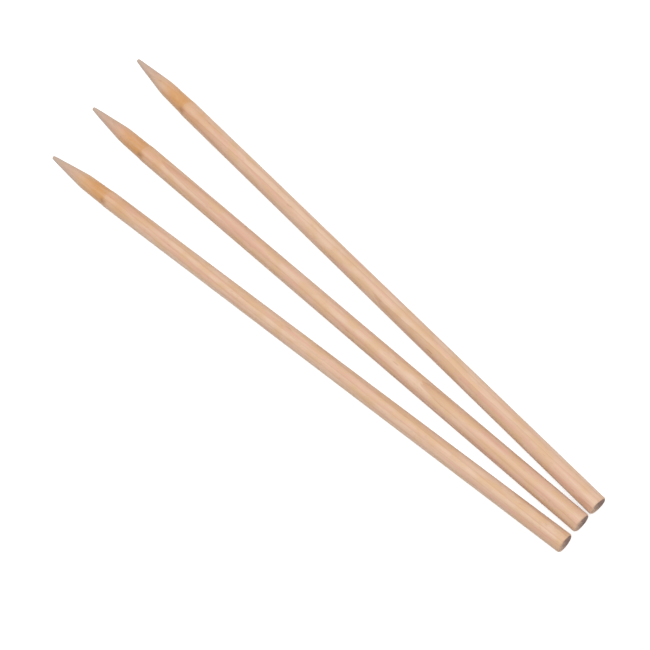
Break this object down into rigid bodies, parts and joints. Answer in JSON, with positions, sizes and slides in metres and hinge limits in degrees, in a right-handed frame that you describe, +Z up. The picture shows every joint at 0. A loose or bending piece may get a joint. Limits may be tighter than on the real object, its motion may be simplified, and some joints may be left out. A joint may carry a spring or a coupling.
{
  "type": "straight knitting needles",
  "caption": "Straight wooden knitting needles with blunt conical points and square-cut ends, laid in a shallow fan.",
  "frame": {"origin": "on the table, under the centre of the box that the set fills", "axes": "+X along the middle needle towards its point, +Y to the left needle's side, +Z up from the table"},
  "size_m": [0.2506, 0.0534, 0.007],
  "materials": {
    "birch": "fine-sanded, lightly waxed"
  },
  "bodies": {
    "left": {"left_needle": "birch"},
    "middle": {"middle_needle": "birch"},
    "right": {"right_needle": "birch"}
  },
  "joints": [
    {"name": "left_lift", "type": "slide", "parent": "middle", "child": "left", "axis": [0, 0, 1], "range_m": [0, 0.1]},
    {"name": "right_lift", "type": "slide", "parent": "middle", "child": "right", "axis": [0, 0, 1], "range_m": [0, 0.1]}
  ]
}
